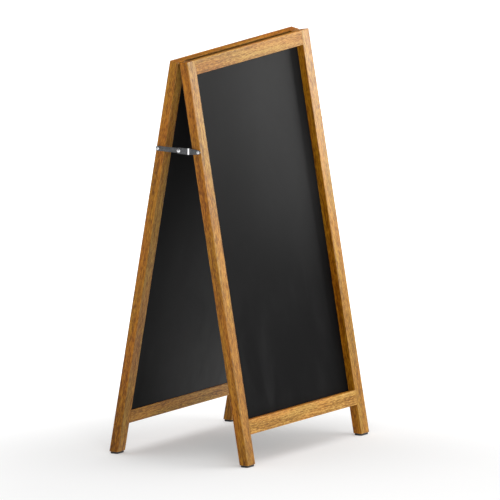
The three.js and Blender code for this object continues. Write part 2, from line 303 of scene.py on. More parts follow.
# ---- material tools -----------------------------------------------------------------
class Graph:
    def __init__(self, name):
        self.material = bpy.data.materials.new(name)
        self.material.use_nodes = True
        self.tree = self.material.node_tree
        self.tree.nodes.clear()
        out = self.tree.nodes.new("ShaderNodeOutputMaterial")
        self.shader = self.tree.nodes.new("ShaderNodeBsdfPrincipled")
        self.tree.links.new(self.shader.outputs[0], out.inputs[0])

    def put(self, socket, value):
        if isinstance(value, bpy.types.NodeSocket):
            self.tree.links.new(value, socket)
        else:
            socket.default_value = value

    def node(self, kind, **properties):
        made = self.tree.nodes.new(kind)
        for key, value in properties.items():
            setattr(made, key, value)
        return made

    def attribute(self, name):
        return self.node("ShaderNodeAttribute", attribute_name=name)

    def scaled(self, vector, scale, location=(0, 0, 0)):
        made = self.node("ShaderNodeMapping")
        self.put(made.inputs["Vector"], vector)
        made.inputs["Scale"].default_value = scale
        made.inputs["Location"].default_value = location
        return made.outputs[0]

    def noise(self, vector, scale=1.0, detail=2.0, rough=0.5, distortion=0.0):
        made = self.node("ShaderNodeTexNoise")
        self.put(made.inputs["Vector"], vector)
        made.inputs["Scale"].default_value = scale
        made.inputs["Detail"].default_value = detail
        made.inputs["Roughness"].default_value = rough
        made.inputs["Distortion"].default_value = distortion
        return made.outputs["Fac"]

    def maths(self, operation, a, b=0.0, c=0.0, clamp=False):
        made = self.node("ShaderNodeMath", operation=operation, use_clamp=clamp)
        for i, value in enumerate((a, b, c)):
            self.put(made.inputs[i], value)
        return made.outputs[0]

    def vector(self, operation, a, b=(0, 0, 0)):
        made = self.node("ShaderNodeVectorMath", operation=operation)
        self.put(made.inputs[0], a)
        self.put(made.inputs[1], b)
        return made.outputs["Value" if operation == "LENGTH" else "Vector"]

    def span(self, value, a0, a1, b0=0.0, b1=1.0):
        made = self.node("ShaderNodeMapRange", clamp=True, interpolation_type="SMOOTHSTEP")
        self.put(made.inputs["Value"], value)
        for key, v in (("From Min", a0), ("From Max", a1), ("To Min", b0), ("To Max", b1)):
            made.inputs[key].default_value = v
        return made.outputs["Result"]

    def ramp(self, value, stops):
        made = self.node("ShaderNodeValToRGB")
        self.put(made.inputs[0], value)
        elements = made.color_ramp.elements
        while len(elements) < len(stops):
            elements.new(0.5)
        for element, (at, colour) in zip(elements, stops):
            element.position = at
            element.color = (*colour, 1)
        return made.outputs[0]

    def mix(self, factor, a, b, blend="MIX"):
        made = self.node("ShaderNodeMix", data_type="RGBA", blend_type=blend)
        self.put(made.inputs[0], factor)
        for socket, value in ((made.inputs[6], a), (made.inputs[7], b)):
            if isinstance(value, tuple):
                socket.default_value = (*value, 1)
            else:
                self.put(socket, value)
        return made.outputs[2]

    def bump(self, height, strength, distance, normal=None):
        made = self.node("ShaderNodeBump")
        made.inputs["Strength"].default_value = strength
        made.inputs["Distance"].default_value = distance
        self.put(made.inputs["Height"], height)
        if normal is not None:
            self.put(made.inputs["Normal"], normal)
        return made.outputs[0]


def oak(name, dark, mid, light, worn, rough=(0.24, 0.36), shine=0.185, face=(0.99, 1.12, 1.62)):
    """Straight-grained stained oak, grain along each member, rings on its ends. Each facing gets its own
    colour tint, which is painted light: a whitish painted sheen on the broad faces, a darker,
    redder painted shade on the narrow flanks and a brighter orange painted light on the tops."""
    g = Graph(name)
    grain = g.attribute("grain").outputs["Vector"]
    edge = g.attribute("edge").outputs["Fac"]
    # the grain wanders a little along the member
    drift = g.noise(g.scaled(grain, (9, 9, 1.7)), detail=1.5)
    centred = g.maths("SUBTRACT", drift, 0.5)
    push = g.node("ShaderNodeCombineXYZ")
    g.put(push.inputs[0], g.maths("MULTIPLY", centred, 0.022))
    g.put(push.inputs[1], g.maths("MULTIPLY", centred, 0.017))
    warped = g.vector("ADD", grain, push.outputs[0])
    # growth rings round a pith outside the section
    flat = g.vector("MULTIPLY", warped, (1, 1, 0))
    radius = g.vector("LENGTH", flat)
    rings = g.maths("SINE", g.maths("MULTIPLY", radius, 2 * math.pi / 0.0062))
    rings = g.maths("MULTIPLY_ADD", rings, 0.5, 0.5)
    broad = g.noise(g.scaled(warped, (60, 60, 3)), detail=2)
    streak = g.noise(g.scaled(warped, (430, 430, 64)), detail=3, rough=0.6)
    fibre = g.noise(g.scaled(warped, (1000, 1000, 105)), detail=2, rough=0.6)
    pores = g.noise(g.scaled(warped, (900, 900, 68)), detail=1)
    pores = g.span(pores, 0.58, 0.7)
    # how light the wood is at a point
    value = g.maths("MULTIPLY", broad, 0.34)
    value = g.maths("MULTIPLY_ADD", streak, 0.72, value)
    value = g.maths("MULTIPLY_ADD", fibre, 0.42, value)
    value = g.maths("MULTIPLY_ADD", rings, 0.06, value)
    value = g.span(value, 0.57, 0.94)
    colour = g.ramp(value, [(0.0, dark), (0.48, mid), (1.0, light)])
    # a slow drift between a yellower and a redder stain
    hue = g.noise(g.scaled(grain, (26, 26, 5), (3, 1, 2)), detail=1)
    red = g.mix(1.0, colour, (1.05, 0.94, 0.86), "MULTIPLY")
    yellow = g.mix(1.0, colour, (0.98, 1.03, 1.06), "MULTIPLY")
    colour = g.mix(g.span(hue, 0.36, 0.64), red, yellow)
    colour = g.mix(g.maths("MULTIPLY", pores, 0.42), colour, tuple(c * 0.6 for c in dark))
    # painted light by facing: whitish painted sheen on broad faces, darker redder painted shade on flanks, brighter
    # orange on tops
    flank = g.attribute("flank").outputs["Fac"]
    facing_light_tint = g.mix(flank, face, (0.87, 0.77, 0.42))
    facing_light_tint = g.mix(g.attribute("crown").outputs["Fac"], facing_light_tint, (1.33, 1.04, 0.56))
    colour = g.mix(1.0, colour, facing_light_tint, "MULTIPLY")
    # softened edges: the stain is thinner, in patches
    patch = g.noise(g.scaled(grain, (60, 60, 22)), detail=3)
    wear = g.maths("MULTIPLY", edge, g.span(patch, 0.42, 0.66, 0.12, 0.5))
    colour = g.mix(wear, colour, worn)
    g.put(g.shader.inputs["Base Color"], colour)
    roughness = g.maths("MULTIPLY_ADD", streak, rough[1] - rough[0], rough[0])
    roughness = g.maths("MULTIPLY_ADD", pores, 0.16, roughness)
    g.put(g.shader.inputs["Roughness"], roughness)
    height = g.maths("MULTIPLY_ADD", fibre, 0.45, g.maths("MULTIPLY", streak, 0.35))
    height = g.maths("SUBTRACT", height, g.maths("MULTIPLY", pores, 0.5))
    g.put(g.shader.inputs["Normal"], g.bump(height, 0.35, 0.0004))
    g.shader.inputs["Specular IOR Level"].default_value = shine
    return g.material


def slate(name, haze_and_reflection_strength, xs, zs):
    """Black chalkboard paint, wiped clean: satin, faintly clouded with chalk, with a broad haze that is partly chalk
    and partly painted reflection.
    """
    g = Graph(name)
    grain = g.attribute("grain").outputs["Vector"]
    cloud = g.noise(g.scaled(grain, (4.5, 4.5, 3.2)), detail=4, rough=0.55, distortion=0.4)
    wipe = g.noise(g.scaled(grain, (17, 17, 6)), detail=3, rough=0.45, distortion=0.5)
    speck = g.noise(grain, scale=900, detail=2)
    dust_and_reflection = g.maths("MULTIPLY", g.span(cloud, 0.38, 0.72), g.span(wipe, 0.3, 0.75))
    split = g.node("ShaderNodeSeparateXYZ")
    g.put(split.inputs[0], g.attribute("place").outputs["Vector"])
    # the dust is laid thicker towards the bottom of a board
    low = g.span(split.outputs[2], 0.05, 0.6, 0.62, 0.22)
    dust_and_reflection = g.maths("MULTIPLY", dust_and_reflection, low)
    # a broad haze, partly chalk and partly painted reflection: strong on the back board, a painted reflection of the
    # floor low down; faint on the front board, a painted sheen in its upper part
    across = g.span(split.outputs[0], *xs)
    down = g.span(split.outputs[2], *zs)
    chalk_haze_and_reflection = g.maths("MULTIPLY", g.maths("MULTIPLY", across, down), g.span(cloud, 0.2, 0.7, 0.6, 1.0))
    dust_and_reflection = g.maths("MULTIPLY_ADD", chalk_haze_and_reflection, haze_and_reflection_strength, dust_and_reflection)
    colour = g.mix(g.maths("MULTIPLY", dust_and_reflection, 0.03), (0.0044, 0.0045, 0.0047), (0.34, 0.345, 0.35))
    colour = g.mix(g.maths("MULTIPLY", g.span(speck, 0.55, 0.8), 0.01), colour, (0.3, 0.3, 0.3))
    edge = g.attribute("edge").outputs["Fac"]
    colour = g.mix(g.maths("MULTIPLY", edge, 0.3), colour, (0.06, 0.05, 0.045))
    g.put(g.shader.inputs["Base Color"], colour)
    g.put(
        g.shader.inputs["Roughness"],
        g.maths("MULTIPLY_ADD", wipe, 0.06, g.maths("MULTIPLY_ADD", dust_and_reflection, 0.08, 0.29)),
    )
    fine = g.noise(grain, scale=2600, detail=2)
    g.put(g.shader.inputs["Normal"], g.bump(fine, 0.12, 0.00012))
    g.shader.inputs["Specular IOR Level"].default_value = 0.0215
    return g.material


def steel(name, base, dark, rough=(0.3, 0.45), brushed=(40, 900, 900), wear=0.25, bump=0.12, bright=None):
    """Plated steel: fine brushing or drawing marks, dull patches, brighter edges."""
    g = Graph(name)
    grain = g.attribute("grain").outputs["Vector"]
    edge = g.attribute("edge").outputs["Fac"]
    lines = g.noise(g.scaled(grain, brushed), detail=3, rough=0.6)
    spangle = g.noise(grain, scale=260, detail=3, rough=0.6)
    colour = g.mix(g.span(spangle, 0.35, 0.7), dark, base)
    colour = g.mix(g.maths("MULTIPLY", lines, 0.22), colour, dark)
    bright = bright or tuple(min(1.0, c * 1.25 + 0.05) for c in base)
    colour = g.mix(g.maths("MULTIPLY", edge, wear), colour, bright)
    g.put(g.shader.inputs["Base Color"], colour)
    roughness = g.maths("MULTIPLY_ADD", lines, rough[1] - rough[0], rough[0])
    roughness = g.maths("MULTIPLY_ADD", spangle, 0.08, roughness)
    g.put(g.shader.inputs["Roughness"], roughness)
    g.shader.inputs["Metallic"].default_value = 1.0
    g.put(g.shader.inputs["Normal"], g.bump(lines, bump, 0.00008))
    return g.material


def rubber(name):
    g = Graph(name)
    grain = g.attribute("grain").outputs["Vector"]
    edge = g.attribute("edge").outputs["Fac"]
    mottle = g.noise(grain, scale=170, detail=4, rough=0.6)
    pit = g.noise(grain, scale=1800, detail=2)
    colour = g.mix(g.span(mottle, 0.35, 0.7), (0.009, 0.009, 0.0095), (0.024, 0.024, 0.024))
    colour = g.mix(g.maths("MULTIPLY", edge, 0.35), colour, (0.055, 0.053, 0.05))
    g.put(g.shader.inputs["Base Color"], colour)
    g.put(g.shader.inputs["Roughness"], g.maths("MULTIPLY_ADD", mottle, 0.25, 0.55))
    g.put(g.shader.inputs["Normal"], g.bump(pit, 0.3, 0.0002))
    return g.material


OAK_DARK, OAK_MID = (0.125, 0.041, 0.0035), (0.28, 0.11, 0.008)
OAK_LIGHT, OAK_WORN = (0.5, 0.24, 0.028), (0.46, 0.26, 0.07)
OAK = oak("oak", OAK_DARK, OAK_MID, OAK_LIGHT, OAK_WORN)
# the rails were stained last: a little lighter and duller
RAIL_DARK, RAIL_MID = (0.155, 0.058, 0.007), (0.31, 0.136, 0.018)
RAIL_LIGHT, RAIL_WORN = (0.5, 0.26, 0.05), (0.49, 0.29, 0.09)
RAIL = (RAIL_DARK, RAIL_MID, RAIL_LIGHT, RAIL_WORN, (0.34, 0.48), 0.08)
# the last argument sets the broad faces' painted sheen tint: faint on the top rails, strong on the front bottom rail
OAK_RAIL = oak("oak_rail", *RAIL, (0.91, 0.96, 1.12))
OAK_LOW = oak("oak_low_rail", *RAIL, (1.1, 1.2, 1.6))
BEECH = oak(
    "beech", (0.42, 0.25, 0.11), (0.58, 0.38, 0.19), (0.68, 0.48, 0.27), (0.7, 0.5, 0.3), (0.5, 0.65)
)
SLATE = {
    "front": slate("slate_front", 0.75, (0.2, 0.66, 0.0, 1.0), (0.3, 0.6, 0.0, 1.0)),
    "back": slate("slate_back", 6.0, (0.15, 1.0, 1.0, 0.0), (0.28, 0.8, 1.0, 0.0)),
}
HINGE_STEEL = steel("hinge_steel", (0.56, 0.57, 0.58), (0.36, 0.37, 0.38), brushed=(900, 900, 40))
# marked faces of the stay arms are painted near white: a painted highlight
STAY_STEEL = steel(
    "stay_steel", (0.13, 0.133, 0.138), (0.075, 0.077, 0.08), brushed=(900, 900, 40), wear=0.95, bright=(0.86, 0.87, 0.89)
)
ZINC = steel("bright_zinc", (0.78, 0.79, 0.81), (0.55, 0.56, 0.58), (0.18, 0.3), (120, 120, 120), 0.2, 0.05)
RUBBER = rubber("rubber")


# ---- frames: stiles, rails, boards, dowels, feet ------------------------------------------
ROUND = 1.5 * MM  # softened long edges
BODY = {"front": "front_frame", "back": "back_frame"}


def box_of(p):
    return p.min(axis=0), p.max(axis=0)


def wooden_frame(prefix):
    m = HALVES[prefix]
    body = BODY[prefix]
    panel_lo, panel_hi = box_of(local(f"{prefix}_chalkboard", m))
    base_seed = 100 if prefix == "front" else 200

    for side in ("left", "right"):
        p = local(f"{prefix}_stile_{side}", m)
        lo, hi = box_of(p)
        outer = p[p[:, 1] < lo[1] + 1e-4]
        inner = p[p[:, 1] > hi[1] - 1e-4]
        z_out, z_in = outer[:, 2].min(), inner[:, 2].min()
        sign = -1 if lo[0] + hi[0] < 0 else 1
        face = hi[0] if sign < 0 else lo[0]  # towards the opening
        outside = lo[0] if sign < 0 else hi[0]
        bm = prism([(lo[1], z_out), (hi[1], z_in), (hi[1], hi[2]), (lo[1], hi[2])], lo[0], hi[0])
        round_edges(bm, ROUND, 4)
        tools = []
        depth = abs(face - (panel_lo[0] if sign < 0 else panel_hi[0])) + 0.2 * MM
        groove = sorted((face - sign * -depth, face + sign * -1 * MM))
        tools.append(
            block(
                groove[0],
                groove[1],
                panel_lo[1] - 0.2 * MM,
                panel_hi[1] + 0.2 * MM,
                panel_lo[2] - 0.4 * MM,
                panel_hi[2] + 0.4 * MM,
            )
        )
        for where in ("top", "bottom"):
            d_lo, d_hi = box_of(local(f"{prefix}_dowel_{where}_{side}", m))
            y, z = (d_lo[1] + d_hi[1]) / 2, (d_lo[2] + d_hi[2]) / 2
            radius = (d_hi[2] - d_lo[2]) / 2 + 0.2 * MM
            deep = (d_hi[0] if sign > 0 else d_lo[0]) + sign * 0.4 * MM
            tools.append(rod(radius, (face - sign * 2 * MM, y, z), (deep, y, z)))
        for name in ("left", "right"):
            screw = local(f"stay_{name}_{'front' if prefix == 'front' else 'rear'}_screw", m)
            s_lo, s_hi = box_of(screw)
            if (s_lo[0] + s_hi[0]) * sign > 0:
                y, z = (s_lo[1] + s_hi[1]) / 2, (s_lo[2] + s_hi[2]) / 2
                tools.append(rod(2.2 * MM, (outside + sign * MM, y, z), (outside - sign * 20 * MM, y, z)))
        nail = points(f"{prefix}_foot_nail_{side}")
        n_lo, n_hi = box_of(nail)
        x, y = (n_lo[0] + n_hi[0]) / 2, (n_lo[1] + n_hi[1]) / 2
        hole = rod(1.5 * MM, (x, y, -5 * MM), (x, y, 22 * MM))
        tools.append(moved(hole, m.inverted()))
        bm = boolean(bm, merged(*tools))
        piece(
            f"{prefix}_oak_stile_{side}",
            bm,
            OAK,
            body,
            [f"{prefix}_stile_{side}"],
            m,
            base_seed + (1 if side == "left" else 2),
        )

    for where in ("top", "bottom"):
        node = f"{prefix}_{where}_rail"
        p = local(node, m)
        lo, hi = box_of(p)
        bm = block(lo[0], hi[0], lo[1], hi[1], lo[2], hi[2])

        def along_x(e):
            a, b = e.verts
            return abs(a.co.x - b.co.x) > 1 * MM

        round_edges(bm, ROUND, 4, along_x)
        tools = []
        for side in ("left", "right"):
            d_lo, d_hi = box_of(local(f"{prefix}_dowel_{where}_{side}", m))
            y, z = (d_lo[1] + d_hi[1]) / 2, (d_lo[2] + d_hi[2]) / 2
            radius = (d_hi[2] - d_lo[2]) / 2 + 0.2 * MM
            sign = -1 if d_lo[0] + d_hi[0] < 0 else 1
            end = hi[0] if sign > 0 else lo[0]
            deep = (d_lo[0] if sign > 0 else d_hi[0]) - sign * 0.4 * MM
            tools.append(rod(radius, (end + sign * 2 * MM, y, z), (deep, y, z)))
        if where == "top":
            for side in ("left", "right"):
                for letter in "ab":
                    s = local(f"hinge_{side}_{prefix}_screw_{letter}", m)
                    s_lo, s_hi = box_of(s)
                    x, z = (s_lo[0] + s_hi[0]) / 2, (s_lo[2] + s_hi[2]) / 2
                    tools.append(rod(1.95 * MM, (x, s_lo[1] - 0.8 * MM, z), (x, 1 * MM, z)))
        else:
            step_y = panel_lo[1] - 0.2 * MM
            tools.append(
                block(lo[0] - MM, hi[0] + MM, step_y, hi[1] + MM, panel_lo[2] - 0.2 * MM, hi[2] + MM)
            )
        bm = boolean(bm, merged(*tools))
        piece(
            f"{prefix}_oak_{where}_rail",
            bm,
            # the back bottom rail sits in shade and takes the darker stile oak: painted shade
            {"front_bottom_rail": OAK_LOW, "back_bottom_rail": OAK}.get(node, OAK_RAIL),
            body,
            [node],
            m,
            base_seed + (3 if where == "top" else 4),
            along="X",
        )

    # board
    bm = block(panel_lo[0], panel_hi[0], panel_lo[1], panel_hi[1], panel_lo[2], panel_hi[2])
    round_edges(bm, 0.35 * MM, 2)
    tools = []
    for side in ("left", "right"):
        for letter in "ab":
            s_lo, s_hi = box_of(local(f"hinge_{side}_{prefix}_screw_{letter}", m))
            x, z = (s_lo[0] + s_hi[0]) / 2, (s_lo[2] + s_hi[2]) / 2
            tools.append(rod(2.2 * MM, (x, -12 * MM, z), (x, 4 * MM, z)))
    bm = boolean(bm, merged(*tools))
    piece(
        f"{prefix}_slate_board",
        bm,
        SLATE[prefix],
        body,
        [f"{prefix}_chalkboard"],
        m,
        base_seed + 5,
    )

    # fluted dowels, with chamfered ends
    for where in ("top", "bottom"):
        for side in ("left", "right"):
            node = f"{prefix}_dowel_{where}_{side}"
            lo, hi = box_of(local(node, m))
            radius, length = (hi[2] - lo[2]) / 2, hi[0] - lo[0]
            n = 48
            bm = bmesh.new()
            rows = []
            for h, share in ((0, 0.74), (0.9 * MM, 1), (length - 0.9 * MM, 1), (length, 0.74)):
                rows.append(
                    [
                        bm.verts.new(
                            (
                                radius * share * (1 - (0.045 if i % 4 == 0 else 0)) * math.cos(2 * math.pi * i / n),
                                radius * share * (1 - (0.045 if i % 4 == 0 else 0)) * math.sin(2 * math.pi * i / n),
                                h,
                            )
                        )
                        for i in range(n)
                    ]
                )
            for a, b in zip(rows, rows[1:]):
                for i in range(n):
                    j = (i + 1) % n
                    bm.faces.new((a[i], a[j], b[j], b[i]))
            bm.faces.new(list(reversed(rows[0])))
            bm.faces.new(rows[-1])
            bmesh.ops.recalc_face_normals(bm, faces=bm.faces)
            turn = Matrix.Translation((lo[0], (lo[1] + hi[1]) / 2, (lo[2] + hi[2]) / 2)) @ Matrix.Rotation(
                math.pi / 2, 4, "Y"
            )
            piece(
                f"{prefix}_beech_dowel_{where}_{side}",
                bm,
                BEECH,
                body,
                [node],
                m @ turn,
                base_seed + 9,
            )

    # rubber feet and the nails that hold them
    for side in ("left", "right"):
        lo, hi = box_of(points(f"{prefix}_foot_{side}"))
        cx, cy = (lo[0] + hi[0]) / 2, (lo[1] + hi[1]) / 2
        bm = block(lo[0] - cx, hi[0] - cx, lo[1] - cy, hi[1] - cy, lo[2], hi[2])
        round_edges(bm, 5 * MM, 6, lambda e: abs(e.verts[0].co.z - e.verts[1].co.z) > 1 * MM)
        round_edges(
            bm,
            1.1 * MM,
            4,
            lambda e: abs(e.verts[0].co.z - e.verts[1].co.z) < 1e-6
            and len([f for f in e.link_faces if abs(f.normal.z) > 0.9]) == 1,
        )
        drill = merged(
            rod(1.6 * MM, (0, 0, 1 * MM), (0, 0, 8 * MM)),
        )
        bm = boolean(bm, drill)
        bm = boolean(bm, rod(4.4 * MM, (0, 0, -1 * MM), (0, 0, 2.2 * MM), 40))
        place = Matrix.Translation((cx, cy, 0))
        piece(
            f"{prefix}_rubber_foot_{side}",
            bm,
            RUBBER,
            body,
            [f"{prefix}_foot_{side}"],
            place,
            base_seed + 12,
        )
        nail = lathe(
            [
                (0, 0.7 * MM),
                (3.6 * MM, 0.72 * MM),
                (4.0 * MM, 0.95 * MM),
                (4.0 * MM, 1.35 * MM),
                (3.7 * MM, 1.6 * MM),
                (1.5 * MM, 1.85 * MM),
                (1.3 * MM, 2.2 * MM),
                (1.3 * MM, 18 * MM),
                (0, 21 * MM),
            ]
        )
        piece(
            f"{prefix}_steel_nail_{side}",
            nail,
            ZINC,
            body,
            [f"{prefix}_foot_nail_{side}"],
            place,
            base_seed + 14,
            soft=45,
        )


for prefix in ("front", "back"):
    wooden_frame(prefix)


# ---- screw heads ---------------------------------------------------------------------
def cross_recess(top, size, depth, width):
    """A tapered cross, to cut a driver's recess from above."""
    parts = []
    for turn in (0, math.pi / 2):
        bm = bmesh.new()
        lower = [bm.verts.new((x, y, top - depth)) for x, y in (
            (-size * 0.35, -width * 0.35), (size * 0.35, -width * 0.35), (size * 0.35, width * 0.35), (-size * 0.35, width * 0.35))]
        upper = [bm.verts.new((x, y, top + depth * 0.6)) for x, y in (
            (-size * 1.1, -width * 0.6), (size * 1.1, -width * 0.6), (size * 1.1, width * 0.6), (-size * 1.1, width * 0.6))]
        bm.faces.new(list(reversed(lower)))
        bm.faces.new(upper)
        for i in range(4):
            j = (i + 1) % 4
            bm.faces.new((lower[i], lower[j], upper[j], upper[i]))
        bmesh.ops.recalc_face_normals(bm, faces=bm.faces)
        parts.append(moved(bm, Matrix.Rotation(turn, 4, "Z")))
    return boolean(parts[0], parts[1], "UNION")


def thread(start, end, radius, pitch=1.6 * MM):
    """Profile of a screw's shank with the thread's crests and roots as rings."""
    out = []
    h = start
    step = pitch / 2
    k = 0
    while h < end:
        out.append((radius * (1.0 if k % 2 else 0.78), h))
        h += step
        k += 1
    return out


# ---- hinges ------------------------------------------------------------------------------
def hinge_leaf(side, prefix):
    m = HALVES[prefix]
    node = f"hinge_{side}_{prefix}_leaf"
    p = local(node, m)
    lo, hi = box_of(p)
    pin_lo, pin_hi = box_of(local(f"hinge_{side}_pin", m))
    ay, az = (pin_lo[1] + pin_hi[1]) / 2, (pin_lo[2] + pin_hi[2]) / 2
    r_out = hi[2] - az
    r_in = 2.65 * MM
    y0 = lo[1]
    thick = 2.0 * MM
    cx = (lo[0] + hi[0]) / 2
    # the plate, and its upper edge rolled round the pin
    roll = []
    a1 = -math.radians(128)
    start = math.acos(max(-1, min(1, (y0 - ay) / r_out)))
    n = 30
    for i in range(n + 1):
        a = start + (a1 - start) * i / n
        roll.append((ay + r_out * math.cos(a), az + r_out * math.sin(a)))
    back = []
    for i in range(n + 1):
        a = a1 + (math.pi + 0.35 - a1) * i / n
        back.append((ay + r_in * math.cos(a), az + r_in * math.sin(a)))
    section = [(y0, az - 6.5 * MM)] + roll + back + [(y0 + thick, az - 4.6 * MM), (y0 + thick, az - 6.5 * MM)]
    outer = prefix == "front"
    width = hi[0] - lo[0]
    k = width / 6 if outer else width / 2
    if outer:
        spans = [(lo[0], cx - k - 0.3 * MM), (cx + k + 0.3 * MM, hi[0])]
    else:
        middle = 64 * MM / 6
        spans = [(cx - middle, cx + middle)]
        lo_x, hi_x = cx - 32 * MM, cx + 32 * MM
        lo = np.array([lo_x, lo[1], lo[2]])
        hi = np.array([hi_x, hi[1], hi[2]])
    plate = block(lo[0], hi[0], y0, y0 + thick, lo[2], az - 6.4 * MM)
    round_edges(
        plate,
        3 * MM,
        5,
        lambda e: abs(e.verts[0].co.y - e.verts[1].co.y) > 1 * MM and max(v.co.z for v in e.verts) < lo[2] + 1 * MM,
    )
    bm = plate
    for x0, x1 in spans:
        bm = boolean(bm, prism(section, x0, x1), "UNION")
    tools = []
    for letter in "ab":
        s_lo, s_hi = box_of(local(f"hinge_{side}_{prefix}_screw_{letter}", m))
        x, z = (s_lo[0] + s_hi[0]) / 2, (s_lo[2] + s_hi[2]) / 2
        sink = lathe(
            [
                (0, -3 * MM),
                (2 * MM, -3 * MM),
                (2 * MM, 0),
                (4.1 * MM, thick),
                (4.1 * MM, thick + 2 * MM),
                (0, thick + 2 * MM),
            ]
        )
        tools.append(moved(sink, Matrix.Translation((x, y0 + 0.05 * MM, z)) @ Matrix.Rotation(-math.pi / 2, 4, "X")))
    bm = boolean(bm, merged(*tools))
    piece(f"hinge_{side}_{prefix}_steel_leaf", bm, HINGE_STEEL, BODY[prefix], [node], m, 31, 40, "X")

    for letter in "ab":
        node = f"hinge_{side}_{prefix}_screw_{letter}"
        s_lo, s_hi = box_of(local(node, m))
        x, z = (s_lo[0] + s_hi[0]) / 2, (s_lo[2] + s_hi[2]) / 2
        bottom, top = s_lo[1], s_hi[1]
        shank = thread(bottom + 3 * MM, top - 3.4 * MM, 1.6 * MM)
        screw = lathe(
            [(0, bottom)]
            + shank
            + [
                (1.45 * MM, top - 2.4 * MM),
                (1.5 * MM, top - 1.95 * MM),
                (3.35 * MM, top - 0.3 * MM),
                (3.5 * MM, top - 0.16 * MM),
                (3.4 * MM, top - 0.03 * MM),
                (2.4 * MM, top),
                (0, top),
            ]
        )
        screw = boolean(screw, cross_recess(top, 1.9 * MM, 1.1 * MM, 0.8 * MM))
        turn = 0.4 + (0.9 if letter == "b" else 0) + (0.5 if side == "left" else 0)
        moved(screw, Matrix.Rotation(turn, 4, "Z"))
        place = m @ Matrix.Translation((x, 0, z)) @ Matrix.Rotation(-math.pi / 2, 4, "X")
        piece(
            f"hinge_{side}_{prefix}_zinc_screw_{letter}", screw, ZINC, BODY[prefix], [node], place, 41, 40
        )


for side in ("left", "right"):
    for prefix in ("front", "back"):
        hinge_leaf(side, prefix)
    node = f"hinge_{side}_pin"
    lo, hi = box_of(points(node))
    cy, cz = (lo[1] + hi[1]) / 2, (lo[2] + hi[2]) / 2
    half = (hi[0] - lo[0]) / 2
    e = half - 1.8 * MM
    pin = lathe(
        [
            (0, -half),
            (1.3 * MM, -half + 0.08 * MM),
            (2.3 * MM, -half + 0.35 * MM),
            (3.05 * MM, -half + 0.85 * MM),
            (3.3 * MM, -half + 1.3 * MM),
            (3.2 * MM, -e - 0.1 * MM),
            (3.0 * MM, -e),
            (2.5 * MM, -e),
            (2.5 * MM, e),
            (3.0 * MM, e),
            (3.2 * MM, e + 0.1 * MM),
            (3.3 * MM, half - 1.3 * MM),
            (3.05 * MM, half - 0.85 * MM),
            (2.3 * MM, half - 0.35 * MM),
            (1.3 * MM, half - 0.08 * MM),
            (0, half),
        ]
    )
    place = Matrix.Translation(((lo[0] + hi[0]) / 2, cy, cz)) @ Matrix.Rotation(math.pi / 2, 4, "Y")
    piece(f"hinge_{side}_steel_pin", pin, HINGE_STEEL, "front_frame", [node], place, 51, 40)


# ---- folding stays ------------------------------------------------------------------------
def bar(stations, d0_of, d1_of, edge=0.35 * MM):
    """A flat bar in (y, z), swept along y: stations are (y, half width) and the two functions give the inner and outer face, as distances out from the stile."""
    bm = bmesh.new()
    rows = []
    for y, h in stations:
        a, b = d0_of(y), d1_of(y)
        rows.append([bm.verts.new(v) for v in ((a, y, -h), (b, y, -h), (b, y, h), (a, y, h))])
    for r0, r1 in zip(rows, rows[1:]):
        for i in range(4):
            j = (i + 1) % 4
            bm.faces.new((r0[i], r0[j], r1[j], r1[i]))
    bm.faces.new(list(reversed(rows[0])))
    bm.faces.new(rows[-1])
    bmesh.ops.recalc_face_normals(bm, faces=bm.faces)
    return bm


def rim_only(bm, radius, segments=2):
    """Softens the long rims of a swept bar."""
    bm.normal_update()
    edges = []
    for e in bm.edges:
        if len(e.link_faces) == 2 and e.link_faces[0].normal.angle(e.link_faces[1].normal, 0) > math.radians(50):
            edges.append(e)
    bmesh.ops.bevel(
        bm, geom=edges, offset=radius, offset_type="OFFSET", segments=segments, profile=0.5, affect="EDGES", clamp_overlap=True
    )
    return bm


def round_end(centre, radius, direction, n=14, least=0.12):
    """Stations of a half round end; the tip is cut off square where the width is small."""
    out = []
    for i in range(n + 1):
        a = math.pi / 2 * i / n
        h = radius * math.sin(a)
        if h >= radius * least:
            out.append((centre + direction * radius * math.cos(a), h))
    return out


def mark_painted_highlight(obj, y0, y1):
    """Leaves only the faces between two depths marked, which the stay steel paints near white as a painted highlight.
    """
    mesh = obj.data
    centre = np.zeros(len(mesh.polygons) * 3, np.float32)
    mesh.polygons.foreach_get("center", centre)
    y = centre.reshape(-1, 3)[:, 1]
    marked = ((y > y0) & (y < y1)).astype(np.float32)
    mesh.attributes["edge"].data.foreach_set("value", marked)


